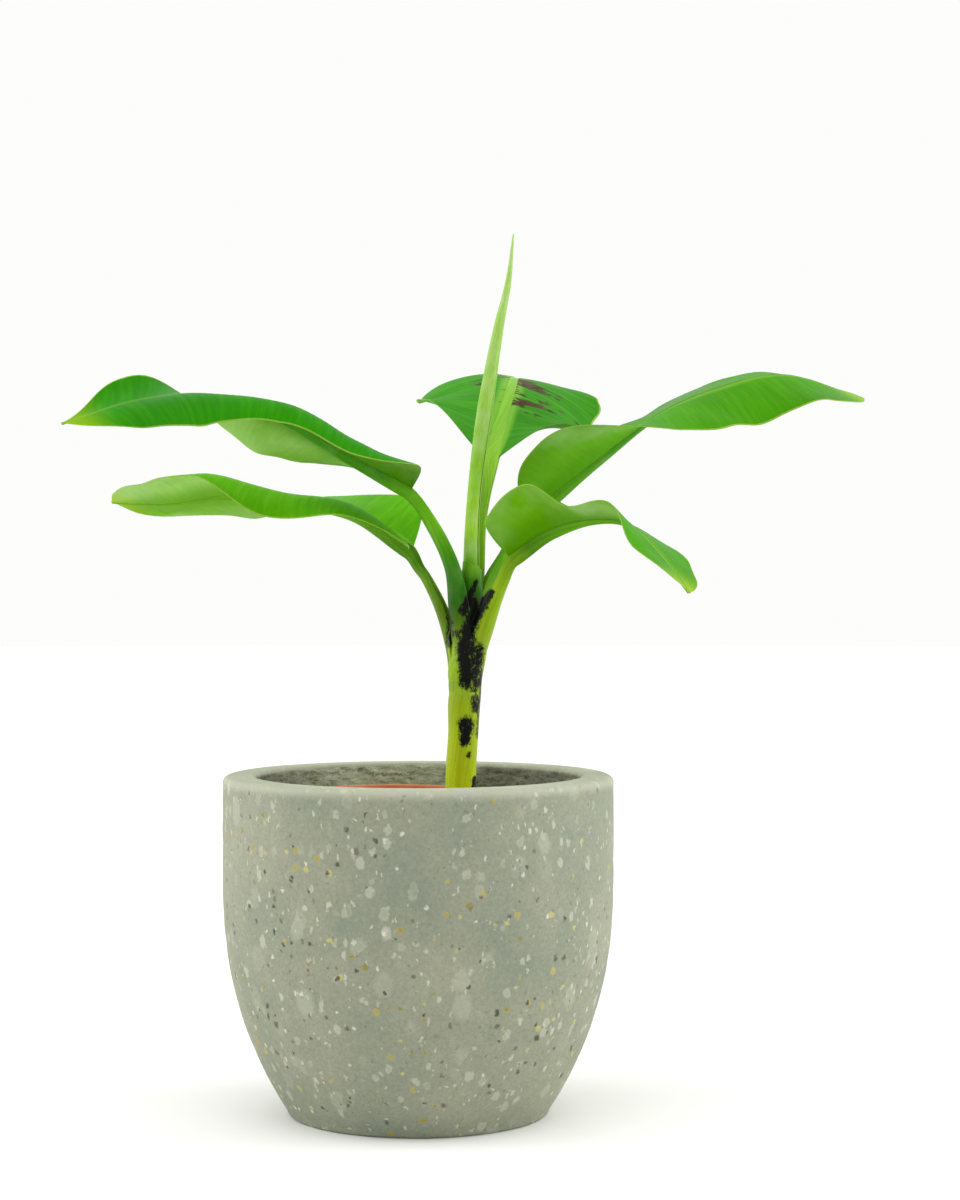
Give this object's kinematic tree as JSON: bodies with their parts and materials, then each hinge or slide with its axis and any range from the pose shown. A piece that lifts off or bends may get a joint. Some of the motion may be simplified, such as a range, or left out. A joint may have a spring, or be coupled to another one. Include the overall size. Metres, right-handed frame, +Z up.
{
  "type": "potted banana plant",
  "caption": "Young banana plant with spreading paddle leaves and one upright rolled leaf, in a nursery pot inside a round terrazzo planter.",
  "frame": {"origin": "centre of the planter's flat underside", "axes": "+Z up, +X to the right of the pictured side, +Y away from the viewer"},
  "size_m": [0.4502, 0.3082, 0.4951],
  "materials": {
    "terrazzo": "matt cast terrazzo with small stone chips",
    "terracotta_plastic": "matt injection-moulded nursery pot",
    "soil": "damp potting soil",
    "clay_pebbles": "rough fired clay",
    "stem": "satin plant skin with dark patches",
    "leaf_stalk": "satin plant skin",
    "leaf": "waxy leaf, paler underneath"
  },
  "bodies": {
    "root": {"planter": "terrazzo", "pebble_bed": "clay_pebbles", "nursery_pot": "terracotta_plastic", "potting_soil": "soil", "pseudostem": "stem", "rolled_leaf": "leaf", "petiole_upper_left": "leaf_stalk", "petiole_lower_left": "leaf_stalk", "petiole_back": "leaf_stalk", "petiole_upper_right": "leaf_stalk", "petiole_front_right": "leaf_stalk", "leaf_upper_left": "leaf", "leaf_lower_left": "leaf", "leaf_back": "leaf", "leaf_upper_right": "leaf", "leaf_front_right": "leaf"}
  },
  "joints": []
}
